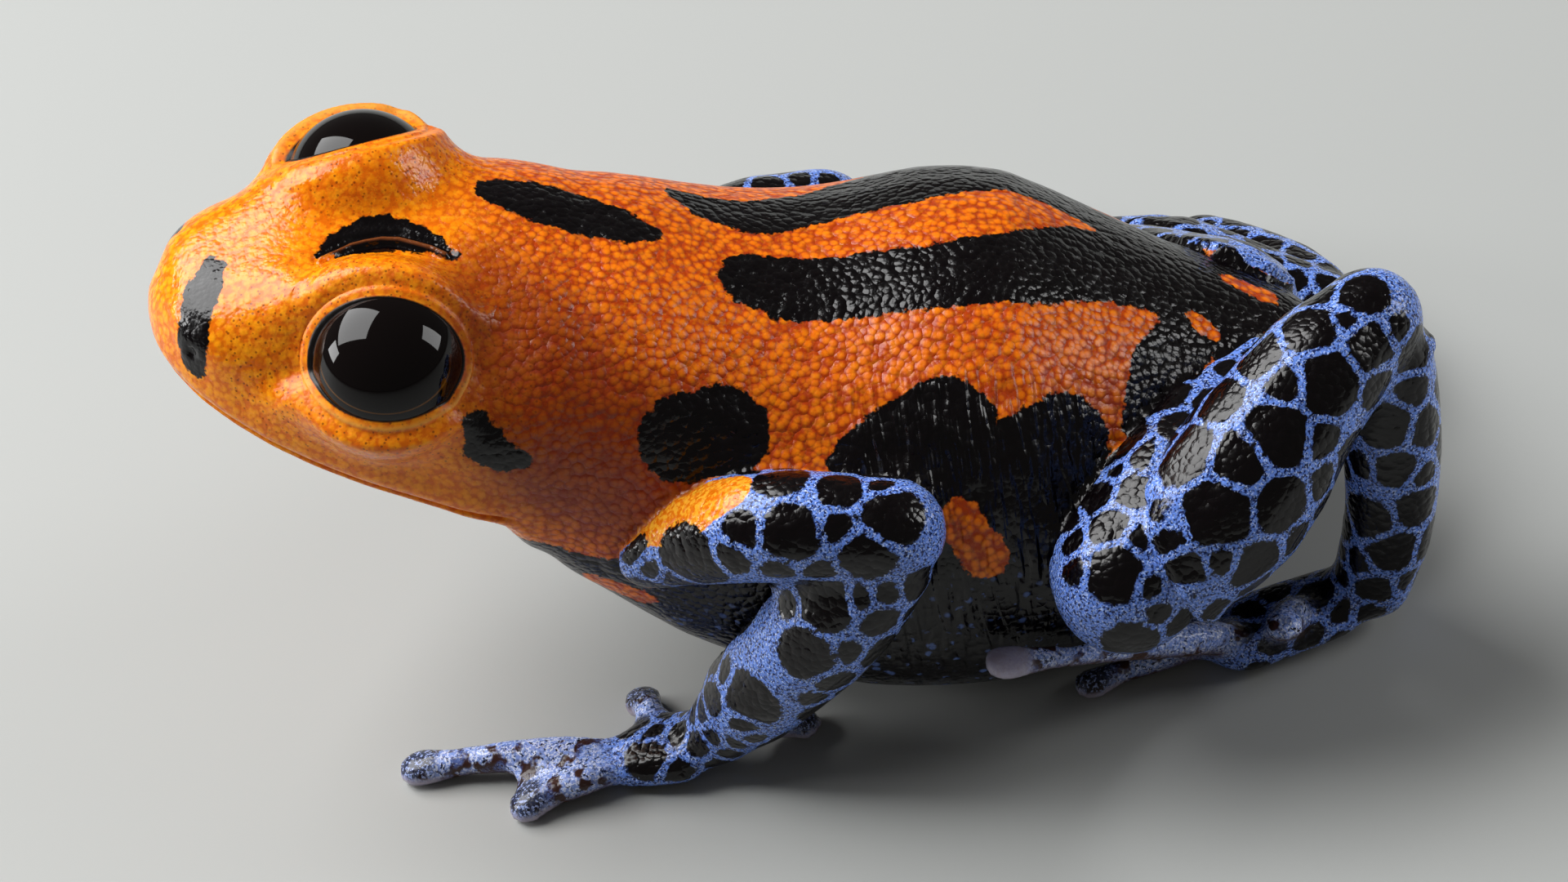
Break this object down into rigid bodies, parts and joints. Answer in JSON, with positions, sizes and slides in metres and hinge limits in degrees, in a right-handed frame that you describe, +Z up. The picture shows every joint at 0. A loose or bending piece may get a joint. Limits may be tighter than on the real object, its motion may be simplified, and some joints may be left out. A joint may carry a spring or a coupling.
{
  "type": "thumbnail poison frog",
  "caption": "Life-size still model of a small tree-dwelling poison frog, sitting with its head raised, orange back with black blotches and net-patterned legs.",
  "frame": {"origin": "middle of the footprint, on the floor that the frog sits on", "axes": "+Z up; -X the way the snout points; -Y towards the frog's left side"},
  "size_m": [0.023, 0.0164, 0.0117],
  "materials": {
    "head_skin": "moist orange skin, finely grained, with black marks",
    "back_skin": "moist granular orange skin with black blotches, dark belly with pale blue specks",
    "limb_skin": "moist black skin under a light blue net",
    "digit_skin": "smooth grey-blue and brown skin with pale pads",
    "eye": "wet, black, with a thin golden ring"
  },
  "bodies": {
    "root": {"head": "head_skin", "torso": "back_skin", "eye_left": "eye", "eye_right": "eye", "upper_arm_left": "limb_skin", "forearm_left": "limb_skin", "hand_left": "limb_skin", "upper_arm_right": "limb_skin", "forearm_right": "limb_skin", "hand_right": "limb_skin", "thigh_left": "limb_skin", "shank_left": "limb_skin", "tarsus_left": "limb_skin", "foot_left": "limb_skin", "thigh_right": "limb_skin", "shank_right": "limb_skin", "tarsus_right": "limb_skin", "foot_right": "limb_skin", "finger_1_left": "digit_skin", "finger_2_left": "digit_skin", "finger_3_left": "digit_skin", "finger_4_left": "digit_skin", "finger_1_right": "digit_skin", "finger_2_right": "digit_skin", "finger_3_right": "digit_skin", "finger_4_right": "digit_skin", "toe_1_left": "digit_skin", "toe_2_left": "digit_skin", "toe_3_left": "digit_skin", "toe_4_left": "digit_skin", "toe_5_left": "digit_skin", "toe_1_right": "digit_skin", "toe_2_right": "digit_skin", "toe_3_right": "digit_skin", "toe_4_right": "digit_skin", "toe_5_right": "digit_skin"}
  },
  "joints": []
}
